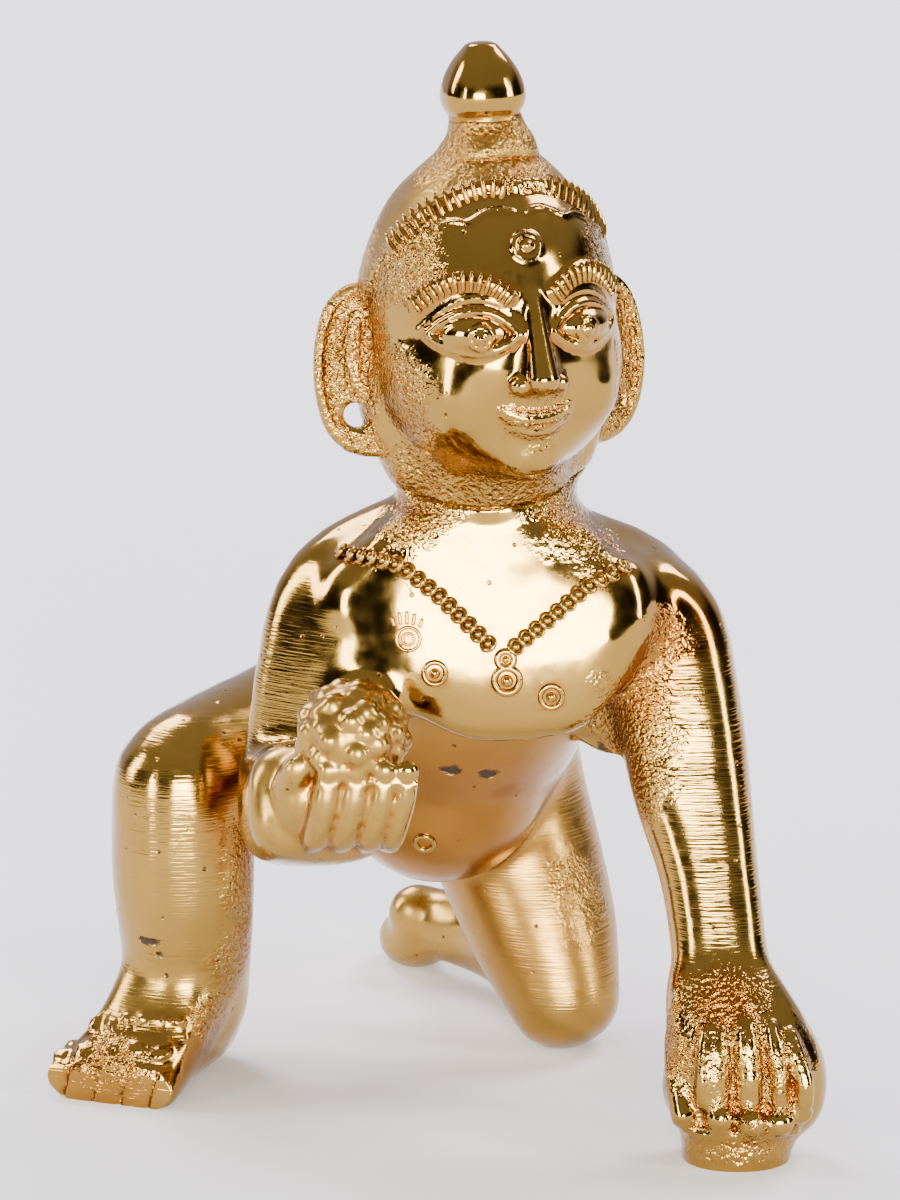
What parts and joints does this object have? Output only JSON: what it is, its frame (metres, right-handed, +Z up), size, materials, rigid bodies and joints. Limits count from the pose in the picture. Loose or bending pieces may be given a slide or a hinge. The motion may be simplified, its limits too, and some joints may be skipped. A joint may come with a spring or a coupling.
{
  "type": "laddu gopal idol",
  "caption": "Small solid cast brass figure of a crawling infant holding a sweet ball, with a topknot and pierced ear lobes; stands on its own hand, foot and knee.",
  "frame": {"origin": "middle of the underside of the figure's box, on the surface that it stands on", "axes": "+Z up, -Y the way the breast faces, +X towards the figure's own left side"},
  "size_m": [0.0564, 0.058, 0.0797],
  "materials": {
    "polished_brass": "polished casting with cast grain left in the hollows"
  },
  "bodies": {
    "root": {"idol": "polished_brass"}
  },
  "joints": []
}
